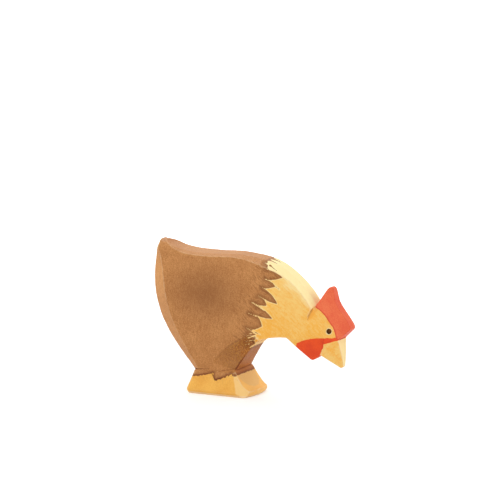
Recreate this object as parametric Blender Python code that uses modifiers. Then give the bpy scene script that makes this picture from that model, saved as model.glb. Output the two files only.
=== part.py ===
"""A pecking hen, carved from one piece of board, with a dot of enamel for each eye.

The hen faces +X, stands on the XY plane and is symmetric about the XZ plane. The origin is the
middle of the foot's underside. It is made the way a carver makes it: the side view is sawn from
a board, the sides are rounded to a barrel, and flat knife cuts then shape the edges, the chest,
the head, the beak, the wattle and the flared foot.
"""

import math

import bmesh
import bpy
from mathutils import Matrix, Vector

MM = 0.001

# Board and barrel: the body is thickest at the barrel's height and thins above and below it
BODY_THICKNESS = 15.8 * MM
BARREL_HEIGHT = 22.0 * MM
BARREL_POWER = 2.4
TAIL_TIP_THICKNESS = 2.6 * MM

# Foot: the flat underside, and how far the rim above it stands out
SOLE_LENGTH = 18.6 * MM
SOLE_WIDTH = 14.4 * MM
RIM_HEIGHT = 1.5 * MM
RIM_SHARE = 0.7
RIM_OUT = 0.5 * MM
RIM_OUT_FRONT = 0.9 * MM
FOOT_CORNER_CUT = 2.0 * MM
FOOT_CORNER_LEAN = 19.5
FOOT_CORNER_TURN = 63.0
FOOT_SCOOP = 0.35 * MM
FOOT_BOW = 0.75 * MM

# Waist, the crease between foot and body
WAIST_HEIGHT = 6.9 * MM
WAIST_FRONT_RISE = 0.9 * MM
WAIST_FRONT = 5.2 * MM
WAIST_REAR = 7.9 * MM
WAIST_WIDTH = 12.6 * MM
WAIST_OVERLAP = 1.6 * MM
ROOT_SHARE = 0.12

# Body outline
RUMP_REACH = 22.1 * MM
RUMP_HEIGHT = 34.0 * MM
BACK_HEIGHT = 41.9 * MM
SADDLE_X = -6.0 * MM
SHOULDER_X = 4.8 * MM
SHOULDER_RISE = 0.45 * MM
TAIL_REACH = 21.3 * MM
TAIL_RISE = 2.5 * MM
TAIL_TIP_LENGTH = 1.4 * MM

# Neck: the nape is where the comb rises from the neck, the throat is where the wattle starts
NAPE_X = 30.3 * MM
NAPE_HEIGHT = 28.9 * MM
NECK_THICKNESS = 7.5 * MM
NECK_TAPER_START = -5.5 * MM
NECK_TAPER_END = 27.0 * MM
STOCK_WIDTH = 21.0 * MM
THROAT_BACK = 9.0 * MM
THROAT_DROP = 10.3 * MM

# Comb, beak and wattle, measured from the nape: ahead of it and above or below it
COMB_TIP_AHEAD = 4.0 * MM
COMB_TIP_RISE = 5.8 * MM
COMB_FRONT_AHEAD = 11.0 * MM
COMB_FRONT_DROP = 5.9 * MM
COMB_DIP_AHEAD = 5.9 * MM
COMB_DIP_RISE = 1.9 * MM
BEAK_ROOT_AHEAD = 7.4 * MM
BEAK_ROOT_DROP = 9.5 * MM
BEAK_LENGTH = 8.7 * MM
BEAK_UNDER_BACK = 6.0 * MM
BEAK_UNDER_RISE = 3.7 * MM
BEAK_TIP_THICKNESS = 1.1 * MM
WATTLE_TIP_BACK = 1.6 * MM
WATTLE_TIP_DROP = 16.3 * MM
WATTLE_TIP_THICKNESS = 3.6 * MM

# Head: how thick the flat cheeks leave it at the stop cut, at the beak's root and at the comb
HEAD_THICKNESS = 5.4 * MM
HEAD_FRONT_THICKNESS = 5.4 * MM
STOP_CUT_BACK = 2.7 * MM
STOP_CUT_DROP = 4.2 * MM

# Knife-cut edges: the width left between a pair of cuts, and how steeply each one falls away
BACK_FLAT_WIDTH = 6.2 * MM
NECK_FLAT_WIDTH = 3.6 * MM
BACK_CUT_SLOPE = 0.36
NECK_CUT_SLOPE = 1.3
REAR_FLAT_WIDTH = 10.8 * MM
TAIL_FLAT_WIDTH = 8.2 * MM
REAR_CUT_SLOPE = 1.55

# Chest cut, from the side in to the breast, measured from the front of the waist
BREAST_FOOT_WIDTH = 9.8 * MM
BREAST_TOP_WIDTH = 7.4 * MM
BREAST_AHEAD = 5.3 * MM
BREAST_RISE = 8.4 * MM
CHEST_CUT_BACK = 6.7 * MM
CHEST_CUT_LOW_RISE = 2.1 * MM
CHEST_CUT_TOP_RISE = 11.4 * MM

# Eyes, measured from the nape
EYE_AHEAD = 4.5 * MM
EYE_DROP = 7.1 * MM
EYE_DIAMETER = 1.5 * MM
EYE_SHANK = 1.2 * MM
EYE_DOME = 0.28 * MM
EYE_SINK = 0.45 * MM
EYE_CLEARANCE = 0.05 * MM

# Knife cuts: how far one ends ahead of a corner of the outline, how near the middle its block
# starts, how high above the tail the back's cut comes in, and how far under the hen the rear's runs
KNIFE_STEP = 0.3 * MM
KNIFE_START = 1.0 * MM
BACK_CUT_ENTRY = 6.0 * MM
REAR_CUT_UNDER = 3.0 * MM

# Fineness of curved surfaces, and the width of a sliver that counts as nothing
CURVE_STEPS = 12
CHEST_STEPS = 8
BOW_STEPS = 8
BARREL_CELL = 1.4 * MM
EYE_STEPS = 20
DOME_STEPS = 5
SLIVER = 0.003 * MM

# How far the chest cut's face runs past its own lines, as shares of its length and its depth
CHEST_RUN = (-0.6, 1.0)
CHEST_REACH = (-0.8, 1.8)

# Room that a cutting block needs past the wood, and the height of the waist's front edge
BEYOND = 14.0 * MM
WAIST_FRONT_HEIGHT = WAIST_HEIGHT + WAIST_FRONT_RISE

# Each eye's name, and its side of the plane of symmetry
EYES = {"eye_right": -1, "eye_left": 1}

PAINTS = {
    "brown_stain": ((0.455, 0.190, 0.070), 0.62),
    "straw_yellow": ((0.890, 0.500, 0.115), 0.60),
    "comb_red": ((0.800, 0.130, 0.050), 0.58),
    "ochre": ((0.850, 0.430, 0.100), 0.60),
    "dark_enamel": ((0.045, 0.018, 0.008), 0.22),
}


def clear_scene():
    for item in list(bpy.data.objects):
        bpy.data.objects.remove(item, do_unlink=True)


def collection(name):
    made = bpy.data.collections.new(name)
    bpy.context.scene.collection.children.link(made)
    return made


def paint(name):
    colour, roughness = PAINTS[name]
    material = bpy.data.materials.new(name)
    material.use_nodes = True
    shader = material.node_tree.nodes["Principled BSDF"]
    shader.inputs["Base Color"].default_value = (*colour, 1.0)
    shader.inputs["Roughness"].default_value = roughness
    shader.inputs["Metallic"].default_value = 0.0
    material.diffuse_color = (*colour, 1.0)
    return material


def add_object(name, mesh, into):
    made = bpy.data.objects.new(name, mesh)
    into.objects.link(made)
    return made


def add_cutter(name, bm, into, material, both_sides=False):
    """A hidden block, which colours what it cuts; both_sides mirrors it to the left side."""
    bmesh.ops.recalc_face_normals(bm, faces=bm.faces)
    mesh = bpy.data.meshes.new(name)
    bm.to_mesh(mesh)
    bm.free()
    mesh.materials.append(material)
    made = add_object(name, mesh, into)
    made.hide_render = True
    made.display_type = "WIRE"
    if both_sides:
        mirror = made.modifiers.new("other side", "MIRROR")
        mirror.use_axis = (False, True, False)
        mirror.use_bisect_axis = (False, True, False)
        mirror.use_bisect_flip_axis = (False, True, False)
        mirror.merge_threshold = 0.00001
    return made


def boolean(target, cutter, operation):
    cut = target.modifiers.new(cutter.name, "BOOLEAN")
    cut.operation = operation
    cut.solver = "EXACT"
    cut.material_mode = "TRANSFER"
    cut.object = cutter


def weld(target):
    """Closes the hairline slivers that are left where three cuts meet at a point."""
    joined = target.modifiers.new("weld", "WELD")
    joined.merge_threshold = SLIVER


def sawn(outline, half_depth):
    """A bmesh of a side-view outline, sawn through to half_depth on both sides of the middle.

    Each outline point is (x, z, handle in, handle out), with handles as steps from the point;
    None leaves the stretch on that side straight.
    """
    data = bpy.data.curves.new("outline", "CURVE")
    data.dimensions = "2D"
    data.fill_mode = "BOTH"
    data.extrude = half_depth
    data.resolution_u = CURVE_STEPS
    spline = data.splines.new("BEZIER")
    spline.bezier_points.add(len(outline) - 1)
    spline.use_cyclic_u = True
    for point, (x, z, _, _) in zip(spline.bezier_points, outline):
        point.co = (x, z, 0)
        point.handle_left_type = point.handle_right_type = "VECTOR"
    for point, (x, z, step_in, step_out) in zip(spline.bezier_points, outline):
        if step_in:
            point.handle_left_type = "FREE"
            point.handle_left = (x + step_in[0], z + step_in[1], 0)
        if step_out:
            point.handle_right_type = "FREE"
            point.handle_right = (x + step_out[0], z + step_out[1], 0)
    curve = bpy.data.objects.new("outline", data)
    bpy.context.scene.collection.objects.link(curve)
    depsgraph = bpy.context.evaluated_depsgraph_get()
    mesh = bpy.data.meshes.new_from_object(curve.evaluated_get(depsgraph))
    bm = bmesh.new()
    bm.from_mesh(mesh)
    bmesh.ops.remove_doubles(bm, verts=bm.verts, dist=0.00001)
    bmesh.ops.rotate(bm, verts=bm.verts, matrix=Matrix.Rotation(math.pi / 2, 3, "X"))
    bmesh.ops.dissolve_limit(bm, angle_limit=0.0005, verts=bm.verts, edges=bm.edges)
    bmesh.ops.recalc_face_normals(bm, faces=bm.faces)
    bpy.data.objects.remove(curve, do_unlink=True)
    bpy.data.curves.remove(data)
    bpy.data.meshes.remove(mesh)
    return bm


def wedge(planes, centre):
    """A block round centre, trimmed by planes given as (point, normal away from the block)."""
    bm = bmesh.new()
    bmesh.ops.create_cube(bm, size=4 * BEYOND)
    bmesh.ops.translate(bm, verts=bm.verts, vec=centre)
    for point, away in planes:
        whole = list(bm.verts) + list(bm.edges) + list(bm.faces)
        cut = bmesh.ops.bisect_plane(
            bm, geom=whole, dist=0.0000001, plane_co=point, plane_no=away, clear_outer=True
        )
        rim = [item for item in cut["geom_cut"] if isinstance(item, bmesh.types.BMEdge)]
        bmesh.ops.edgenet_fill(bm, edges=rim)
    return bm


def facing(a, b, c, hint):
    """The unit normal of the plane through three points, on the side that hint points to."""
    normal = (Vector(b) - Vector(a)).cross(Vector(c) - Vector(a)).normalized()
    return normal if normal.dot(Vector(hint)) > 0 else -normal


def from_nape(ahead, rise, across=0.0):
    """A point measured from the nape; across is how far it lies towards the right side."""
    return (NAPE_X + ahead, -across, NAPE_HEIGHT + rise)


def barrel_half(z):
    """Half the body's thickness at a height: a superellipse through waist and tail tip."""
    half = BODY_THICKNESS / 2
    edge_half, edge_z = WAIST_WIDTH / 2, WAIST_HEIGHT
    if z > BARREL_HEIGHT:
        edge_half, edge_z = TAIL_TIP_THICKNESS / 2, BACK_HEIGHT + TAIL_RISE
    share = (1 - (edge_half / half) ** BARREL_POWER) ** (1 / BARREL_POWER)
    reach = abs(edge_z - BARREL_HEIGHT) / share
    t = min(abs(z - BARREL_HEIGHT) / reach, 0.999)
    return half * (1 - t**BARREL_POWER) ** (1 / BARREL_POWER)


def taper_half(x):
    """Half the thickness along the hen, from past the stock's width down to the neck."""
    t = (x - NECK_TAPER_START) / (NECK_TAPER_END - NECK_TAPER_START)
    t = min(max(t, 0.0), 1.0)
    wide, narrow = STOCK_WIDTH / 2, NECK_THICKNESS / 2
    return narrow + (wide - narrow) * (1 + math.cos(math.pi * t)) / 2


def half_thickness(x, z):
    """The barrel and the taper, run together without an edge between them."""
    sharpness = 8
    total = barrel_half(z) ** -sharpness + taper_half(x) ** -sharpness
    return total ** (-1 / sharpness)


def rooted(x, z, handle):
    """The start of a curve that leaves the foot at (x, z), set back inside the foot."""
    back = (handle[0] * ROOT_SHARE, handle[1] * ROOT_SHARE)
    return (x - back[0], z - back[1], None, (handle[0] + back[0], handle[1] + back[1]))


def rear_line():
    """The rear of the body from waist to tail, as outline points."""
    waist = rooted(-WAIST_REAR, WAIST_HEIGHT, (-7.7 * MM, 8.3 * MM))
    rump = (-RUMP_REACH, RUMP_HEIGHT, (0, -11.5 * MM), (0, 3.5 * MM))
    tail = (-TAIL_REACH, BACK_HEIGHT + TAIL_RISE, (-0.2 * MM, -3.0 * MM), None)
    return [waist, rump, tail]


def back_line():
    """The top of the body and neck, from the tail's tip to the nape, as outline points."""
    tip_x = TAIL_TIP_LENGTH - TAIL_REACH
    tip = (tip_x, BACK_HEIGHT + TAIL_RISE, None, (4.5 * MM, -2.3 * MM))
    saddle = (SADDLE_X, BACK_HEIGHT, (-6.0 * MM, 0), (4.0 * MM, 0))
    shoulder = (SHOULDER_X, BACK_HEIGHT + SHOULDER_RISE, (-4.0 * MM, 0), (11.5 * MM, 0))
    nape = (NAPE_X, NAPE_HEIGHT, (-4.2 * MM, 7.7 * MM), None)
    return [tip, saddle, shoulder, nape]


def head_line():
    """Comb, beak and wattle, from the nape round to the throat, as outline points."""
    tip_ahead = COMB_TIP_AHEAD + 0.6 * MM
    comb_front, comb_low = COMB_FRONT_AHEAD, -COMB_FRONT_DROP
    beak_tip = -BEAK_ROOT_DROP - BEAK_LENGTH
    steps = [
        (COMB_TIP_AHEAD - 0.7 * MM, COMB_TIP_RISE - 0.6 * MM, None, (0.6 * MM, 0.6 * MM)),
        (tip_ahead, COMB_TIP_RISE - 0.1 * MM, (-0.7 * MM, 0.3 * MM), (0.8 * MM, -0.4 * MM)),
        (COMB_DIP_AHEAD, COMB_DIP_RISE, (-0.7 * MM, 2.8 * MM), (0.5 * MM, -1.6 * MM)),
        (comb_front - 0.8 * MM, comb_low + 1.5 * MM, None, (0.8 * MM, -1.1 * MM)),
        (comb_front - 0.5 * MM, comb_low - 0.8 * MM, (0.6 * MM, 0.6 * MM), None),
        (BEAK_ROOT_AHEAD, -BEAK_ROOT_DROP, None, (0.4 * MM, -3.0 * MM)),
        (BEAK_ROOT_AHEAD + 0.75 * MM, beak_tip + 1.0 * MM, (0, 2.4 * MM), (0, -0.8 * MM)),
        (BEAK_ROOT_AHEAD - 0.3 * MM, beak_tip, (0.6 * MM, -0.1 * MM), None),
        (BEAK_ROOT_AHEAD - BEAK_UNDER_BACK, beak_tip + BEAK_UNDER_RISE, None, None),
        (0.7 * MM - WATTLE_TIP_BACK, 0.1 * MM - WATTLE_TIP_DROP, None, (-0.5 * MM, -0.3 * MM)),
        (-0.6 * MM - WATTLE_TIP_BACK, 0.2 * MM - WATTLE_TIP_DROP, (0.4 * MM, -0.3 * MM), None),
        (-THROAT_BACK, -THROAT_DROP, None, (-10.5 * MM, -0.6 * MM)),
    ]
    return [(NAPE_X + x, NAPE_HEIGHT + z, a, b) for x, z, a, b in steps]


def body_outline():
    """The whole side view above the waist, closed inside the foot."""
    inside = WAIST_HEIGHT - WAIST_OVERLAP
    x, z, _, handle = rooted(WAIST_FRONT, WAIST_FRONT_HEIGHT, (5.2 * MM, 8.8 * MM))
    inner_front = (WAIST_FRONT - WAIST_OVERLAP, inside, None, None)
    inner_rear = (WAIST_OVERLAP - WAIST_REAR, inside, None, None)
    breast = [(x, z, handle, None), inner_front, inner_rear]
    return rear_line() + back_line() + head_line() + breast


def slab(surface, across, up):
    """A closed block: a grid laid on surface(s, t), s and t from 0 to 1, and pushed out sideways.

    surface gives a point of the face next to the wood and the point behind it.
    """
    bm = bmesh.new()
    bmesh.ops.create_grid(bm, x_segments=across, y_segments=up, size=0.5)
    near = list(bm.verts)
    pushed = bmesh.ops.extrude_face_region(bm, geom=list(bm.faces))
    behind = {item for item in pushed["geom"] if isinstance(item, bmesh.types.BMVert)}
    for vert in near + list(behind):
        vert.co = surface(vert.co.x + 0.5, vert.co.y + 0.5)[vert in behind]
    for face in bm.faces:
        face.smooth = True
    return bm


def barrel_form():
    """The rounded form that the sawn blank is carved to, with finer rows up at the tail."""
    left, right = -RUMP_REACH - 2 * MM, NAPE_X + COMB_FRONT_AHEAD + 2 * MM
    low, high = WAIST_HEIGHT - WAIST_OVERLAP - 1 * MM, BACK_HEIGHT + TAIL_RISE + 1 * MM

    def surface(s, t):
        x = left + s * (right - left)
        z = low + math.sin(t * math.pi / 2) * (high - low)
        half = half_thickness(x, z)
        return (x, -half, z), (x, half, z)

    return slab(surface, round((right - left) / BARREL_CELL), round((high - low) / BARREL_CELL))


def back_cutter():
    """Removes the long edge on the right of the back and neck, sloping down from the flat."""
    start_x = -TAIL_REACH - BEYOND
    line = back_line()
    lead_in = (start_x, line[0][1] + BACK_CUT_ENTRY, None, None)
    top = [(NAPE_X, 2 * BACK_HEIGHT, None, None), (start_x, 2 * BACK_HEIGHT, None, None)]
    bm = sawn([lead_in] + line + top, 0.5)
    for vert in bm.verts:
        along = min(max((vert.co.x - SADDLE_X) / (NAPE_X - SADDLE_X), 0), 1)
        flat = BACK_FLAT_WIDTH + along * (NECK_FLAT_WIDTH - BACK_FLAT_WIDTH)
        slope = BACK_CUT_SLOPE + along**4 * (NECK_CUT_SLOPE - BACK_CUT_SLOPE)
        across = BODY_THICKNESS if vert.co.y < 0 else KNIFE_START
        vert.co.z -= slope * (across - flat / 2)
        vert.co.y = -across
    return bm


def rear_cutter():
    """Removes the edge on the right of the rear, from waist to tail."""
    line = rear_line()
    below = (REAR_CUT_UNDER - WAIST_REAR, 0, None, None)
    above = (-TAIL_REACH, 2 * BACK_HEIGHT, None, None)
    far = [(-2 * RUMP_REACH, 2 * BACK_HEIGHT, None, None), (-2 * RUMP_REACH, 0, None, None)]
    bm = sawn([below] + line + [above] + far, 0.5)
    for vert in bm.verts:
        up = min(max((vert.co.z - WAIST_HEIGHT) / (BACK_HEIGHT - WAIST_HEIGHT), 0), 1)
        flat = REAR_FLAT_WIDTH + up * (TAIL_FLAT_WIDTH - REAR_FLAT_WIDTH)
        across = BODY_THICKNESS if vert.co.y < 0 else KNIFE_START
        vert.co.x += REAR_CUT_SLOPE * (across - flat / 2)
        vert.co.y = -across
    return bm


def chest_cutter():
    """The knife cut from the side in to the breast, slanting out again where the knife stopped.

    Its face runs between two lines up the body: the outer one on the side, from out_low to
    out_high, and the inner one on the breast, from in_low to in_high.
    """
    top_x = WAIST_FRONT + BREAST_AHEAD
    top_z = WAIST_FRONT_HEIGHT + CHEST_CUT_TOP_RISE
    low_x = WAIST_FRONT - CHEST_CUT_BACK
    low_z = WAIST_FRONT_HEIGHT + CHEST_CUT_LOW_RISE
    out_low = Vector((low_x, -half_thickness(low_x, low_z), low_z))
    out_high = Vector((top_x, -half_thickness(top_x, top_z), top_z))
    in_low = Vector((WAIST_FRONT, -BREAST_FOOT_WIDTH / 2, WAIST_FRONT_HEIGHT))
    in_high = Vector((top_x, -BREAST_TOP_WIDTH / 2, WAIST_FRONT_HEIGHT + BREAST_RISE))
    upward = (out_high - out_low).normalized()
    slant = BODY_THICKNESS * (upward + Vector((0, -1, 0)))

    def surface(s, t):
        rise = CHEST_RUN[0] + t * (CHEST_RUN[1] - CHEST_RUN[0])
        depth = CHEST_REACH[0] + s * (CHEST_REACH[1] - CHEST_REACH[0])
        point = out_low.lerp(out_high, rise).lerp(in_low.lerp(in_high, rise), depth)
        return point, point + slant

    return slab(surface, CHEST_STEPS, CHEST_STEPS)


def cheek():
    """The flat of the right cheek: the ends of its stop cut, and the way it faces."""
    heel_x, heel_z = NAPE_X - STOP_CUT_BACK, NAPE_HEIGHT - STOP_CUT_DROP
    heel = Vector((heel_x, -half_thickness(heel_x, heel_z), heel_z))
    toe = Vector(from_nape(-0.3 * MM, 0.6 * MM, HEAD_THICKNESS / 2))
    front = from_nape(BEAK_ROOT_AHEAD, -BEAK_ROOT_DROP, HEAD_FRONT_THICKNESS / 2)
    return heel, toe, facing(heel, toe, front, (0, -1, 0))


def head_cutter():
    """The flat cheek, and the stop cut that leaves the neck standing behind the comb."""
    heel, toe, outward = cheek()
    cut = toe - heel
    backward = Vector((-cut.z, 0, cut.x)).normalized()
    centre = Vector(from_nape(BEAK_ROOT_AHEAD, -BEAK_ROOT_DROP, BEYOND))
    return wedge([(toe, -outward), (heel, backward)], centre)


def beak_cutter():
    """The flat side of the beak, thinning towards its tip."""
    beak_tip = -BEAK_ROOT_DROP - BEAK_LENGTH
    root = Vector(from_nape(BEAK_ROOT_AHEAD, -BEAK_ROOT_DROP, HEAD_FRONT_THICKNESS / 2))
    tip = from_nape(BEAK_ROOT_AHEAD + 0.6 * MM, beak_tip + 0.4 * MM, BEAK_TIP_THICKNESS / 2)
    under_x = BEAK_ROOT_AHEAD - BEAK_UNDER_BACK
    under = from_nape(under_x, beak_tip + BEAK_UNDER_RISE, HEAD_THICKNESS / 2)
    outward = facing(root, tip, under, (0, -1, 0))
    return wedge([(root, -outward)], root + Vector((0, -BEYOND, 0)))


def wattle_cutter():
    """The flat side of the wattle, thinning towards its tip and stopping at the beak."""
    neck_half = NECK_THICKNESS / 2
    rear = Vector(from_nape(-5.3 * MM, -10.7 * MM, neck_half))
    front = from_nape(2.7 * MM, -9.7 * MM, neck_half - 0.45 * MM)
    tip = Vector(from_nape(-WATTLE_TIP_BACK, -WATTLE_TIP_DROP, WATTLE_TIP_THICKNESS / 2))
    outward = facing(rear, front, tip, (0, -1, 0))
    beak_tip = -BEAK_ROOT_DROP - BEAK_LENGTH
    notch_x = BEAK_ROOT_AHEAD - BEAK_UNDER_BACK + KNIFE_STEP
    notch = from_nape(notch_x, beak_tip + BEAK_UNDER_RISE)
    forward = Vector((0.96, 0, -0.28))
    throat = from_nape(KNIFE_STEP - THROAT_BACK, -THROAT_DROP)
    planes = [(rear, -outward), (notch, forward), (throat, Vector((-1, 0, 1)).normalized())]
    return wedge(planes, tip + Vector((0, -BEYOND, 0)))


def foot_outline():
    """The foot's side view, narrowing from the rim up into the body."""
    front, rear = SOLE_LENGTH / 2 + RIM_OUT_FRONT, -SOLE_LENGTH / 2 - RIM_OUT
    rear_slope = (-WAIST_REAR - rear) / (WAIST_HEIGHT - RIM_HEIGHT)
    top = WAIST_FRONT_HEIGHT + WAIST_OVERLAP
    scoop = (-2.2 * MM - FOOT_SCOOP, 1.6 * MM - FOOT_SCOOP)
    return [
        (rear + RIM_OUT, 0, None, None),
        (rear, RIM_HEIGHT * RIM_SHARE, None, None),
        (rear, RIM_HEIGHT, None, None),
        (rear_slope * (top - WAIST_HEIGHT) - WAIST_REAR, top, None, None),
        (WAIST_FRONT - WAIST_OVERLAP * 0.7, top, None, (2.2 * MM, -3.2 * MM)),
        (front, RIM_HEIGHT * 1.2, scoop, (0.1 * MM, -0.7 * MM)),
        (SOLE_LENGTH / 2, 0, (0.8 * MM, 0.1 * MM), None),
    ]


def foot_block():
    """The foot as sawn from the side, its front bowed out between the corner cuts, most at the sole."""
    bm = sawn(foot_outline(), SOLE_WIDTH)
    reach = SOLE_WIDTH / 2 - FOOT_CORNER_CUT
    for step in range(1 - BOW_STEPS, BOW_STEPS):
        whole = list(bm.verts) + list(bm.edges) + list(bm.faces)
        place = (0, step / BOW_STEPS * SOLE_WIDTH, 0)
        bmesh.ops.bisect_plane(bm, geom=whole, dist=0.0000001, plane_co=place, plane_no=(0, 1, 0))
    for vert in bm.verts:
        if vert.co.x > 0:
            low = max(1 - vert.co.z / WAIST_FRONT_HEIGHT, 0)
            vert.co.x += low * FOOT_BOW * (1 - (vert.co.y / reach) ** 2)
    return bm


def foot_sides():
    """The foot's front view, as a block that runs through past both its ends."""
    sole_half, waist_half = SOLE_WIDTH / 2, WAIST_WIDTH / 2
    half = sole_half + RIM_OUT
    shoulder = 2 * WAIST_OVERLAP
    right = [
        (sole_half - RIM_OUT, -RIM_HEIGHT * RIM_SHARE),
        (half, RIM_HEIGHT * RIM_SHARE),
        (half, RIM_HEIGHT),
        (waist_half, WAIST_HEIGHT),
        (waist_half - shoulder, WAIST_HEIGHT + shoulder),
    ]
    left = [(-y, z) for y, z in reversed(right)]
    bm = sawn([(y, z, None, None) for y, z in right + left], SOLE_LENGTH)
    bmesh.ops.rotate(bm, verts=bm.verts, matrix=Matrix.Rotation(math.pi / 2, 3, "Z"))
    return bm


def foot_corner_cutter():
    """The facet cut off the foot's front right corner, leaning back towards the waist."""
    corner = Vector((SOLE_LENGTH / 2 + RIM_OUT_FRONT, -SOLE_WIDTH / 2 - RIM_OUT, RIM_HEIGHT))
    lean, turn = math.radians(FOOT_CORNER_LEAN), math.radians(FOOT_CORNER_TURN)
    level = Vector((math.cos(turn), -math.sin(turn), 0))
    outward = level * math.cos(lean) + Vector((0, 0, math.sin(lean)))
    start = corner - level * FOOT_CORNER_CUT
    return wedge([(start, -outward)], corner + level * BEYOND)


def eye_place(side):
    """Where an eye stands on the cheek, and the way it faces; side is -1 on the right."""
    _, toe, outward = cheek()
    x, z = NAPE_X + EYE_AHEAD, NAPE_HEIGHT - EYE_DROP
    y = toe.y - (outward.x * (x - toe.x) + outward.z * (z - toe.z)) / outward.y
    return Vector((x, -side * y, z)), Vector((outward.x, -side * outward.y, outward.z))


def eye_mesh(name):
    """Half the section of a domed dot on a short shank, to be turned about its own Z axis."""
    radius = EYE_DIAMETER / 2
    dome_radius = (radius**2 + EYE_DOME**2) / (2 * EYE_DOME)
    sweep = math.asin(radius / dome_radius)
    profile = [(0, EYE_DOME)]
    for i in range(1, DOME_STEPS + 1):
        angle = sweep * i / DOME_STEPS
        profile.append((dome_radius * math.sin(angle), EYE_DOME - dome_radius * (1 - math.cos(angle))))
    profile += [(EYE_SHANK / 2, -EYE_SINK), (0, -EYE_SINK)]
    bm = bmesh.new()
    verts = [bm.verts.new((x, 0, z)) for x, z in profile]
    for a, b in zip(verts, verts[1:]):
        bm.edges.new((a, b))
    mesh = bpy.data.meshes.new(name)
    bm.to_mesh(mesh)
    bm.free()
    return mesh


def add_eye(name, side, into, material):
    mesh = eye_mesh(name)
    mesh.materials.append(material)
    eye = add_object(name, mesh, into)
    place, outward = eye_place(side)
    eye.location = place + outward * EYE_CLEARANCE
    eye.rotation_euler = outward.to_track_quat("Z", "Y").to_euler()
    turn = eye.modifiers.new("turned", "SCREW")
    turn.steps = turn.render_steps = EYE_STEPS
    turn.use_merge_vertices = True
    turn.merge_threshold = 0.000001


def socket_cutter(side):
    """The pricked recess that an eye stands in."""
    place, outward = eye_place(side)
    depth = EYE_SINK + EYE_CLEARANCE
    bm = bmesh.new()
    bmesh.ops.create_cone(
        bm,
        cap_ends=True,
        segments=EYE_STEPS,
        radius1=EYE_SHANK / 2 + EYE_CLEARANCE,
        radius2=EYE_DIAMETER / 2 + 2 * EYE_CLEARANCE,
        depth=depth + EYE_CLEARANCE,
    )
    bmesh.ops.translate(bm, verts=bm.verts, vec=(0, 0, (EYE_CLEARANCE - depth) / 2))
    turn = outward.to_track_quat("Z", "Y").to_matrix()
    bmesh.ops.rotate(bm, verts=bm.verts, matrix=turn)
    bmesh.ops.translate(bm, verts=bm.verts, vec=place)
    return bm


def carve_foot(cutters, ochre):
    foot = add_cutter("foot_block", foot_block(), cutters, ochre)
    sides = add_cutter("foot_sides", foot_sides(), cutters, ochre)
    corners = add_cutter("foot_corners", foot_corner_cutter(), cutters, ochre, both_sides=True)
    boolean(foot, sides, "INTERSECT")
    boolean(foot, corners, "DIFFERENCE")
    return foot


def carve_hen(into, cutters):
    paints = {name: paint(name) for name in PAINTS}
    mesh = bpy.data.meshes.new("hen_figure")
    blank = sawn(body_outline(), BODY_THICKNESS)
    blank.to_mesh(mesh)
    blank.free()
    mesh.materials.append(paints["brown_stain"])
    hen = add_object("hen_figure", mesh, into)
    boolean(hen, add_cutter("barrel", barrel_form(), cutters, paints["brown_stain"]), "INTERSECT")
    for name, make, colour in (
        ("back_edges", back_cutter, "brown_stain"),
        ("rear_edges", rear_cutter, "brown_stain"),
        ("chest_cuts", chest_cutter, "brown_stain"),
        ("cheeks", head_cutter, "straw_yellow"),
        ("wattle_sides", wattle_cutter, "comb_red"),
        ("beak_sides", beak_cutter, "straw_yellow"),
    ):
        cutter = add_cutter(name, make(), cutters, paints[colour], both_sides=True)
        boolean(hen, cutter, "DIFFERENCE")
    weld(hen)
    boolean(hen, carve_foot(cutters, paints["ochre"]), "UNION")
    weld(hen)
    for name, side in EYES.items():
        socket = add_cutter(name + "_socket", socket_cutter(side), cutters, paints["dark_enamel"])
        boolean(hen, socket, "DIFFERENCE")
        add_eye(name, side, into, paints["dark_enamel"])


def main():
    clear_scene()
    parts = collection("wooden_hen")
    carve_hen(parts, collection("cutters"))


main()
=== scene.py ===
"""Finishes a carved wooden hen: its knife-worked surface, its paint, its eyes, and a small studio.

The hen faces +X, stands on the XY plane and is the same on both sides of the XZ plane. Lengths
are in metres. The painter's lines and all distances in the paint are in millimetres, and the
points of a line are (x, z), seen from the hen's side.
"""

import math

import bmesh
import bpy
import numpy as np
from bpy.props import FloatProperty, FloatVectorProperty, IntProperty, PointerProperty
from mathutils import Matrix, Vector, noise


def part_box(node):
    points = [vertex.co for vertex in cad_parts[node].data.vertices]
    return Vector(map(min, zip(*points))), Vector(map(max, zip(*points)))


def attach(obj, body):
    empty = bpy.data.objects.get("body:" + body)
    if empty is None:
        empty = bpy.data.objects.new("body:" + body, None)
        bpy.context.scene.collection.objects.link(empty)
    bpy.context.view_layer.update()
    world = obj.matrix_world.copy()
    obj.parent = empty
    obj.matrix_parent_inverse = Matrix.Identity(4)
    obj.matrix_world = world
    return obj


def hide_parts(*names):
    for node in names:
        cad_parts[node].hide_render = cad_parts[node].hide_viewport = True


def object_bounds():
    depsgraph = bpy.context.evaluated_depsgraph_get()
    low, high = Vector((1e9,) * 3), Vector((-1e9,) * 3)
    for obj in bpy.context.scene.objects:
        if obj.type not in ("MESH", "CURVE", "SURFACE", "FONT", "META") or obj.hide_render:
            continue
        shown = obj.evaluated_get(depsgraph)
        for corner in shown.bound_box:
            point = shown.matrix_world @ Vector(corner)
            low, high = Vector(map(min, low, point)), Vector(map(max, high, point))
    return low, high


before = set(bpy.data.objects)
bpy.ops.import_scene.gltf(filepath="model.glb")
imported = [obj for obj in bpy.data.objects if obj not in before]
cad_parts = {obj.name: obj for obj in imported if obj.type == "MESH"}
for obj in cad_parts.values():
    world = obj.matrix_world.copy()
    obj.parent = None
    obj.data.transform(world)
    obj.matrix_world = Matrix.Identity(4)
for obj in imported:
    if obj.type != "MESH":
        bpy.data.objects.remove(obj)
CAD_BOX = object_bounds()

bl_info = {
    "name": "Carved Wooden Hen",
    "version": (1, 0, 0),
    "blender": (4, 5, 0),
    "location": "3D View > Sidebar > Hen",
    "description": "Knife-worked surface, paint, eyes and studio for a carved wooden hen",
    "category": "Object",
}

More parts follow.
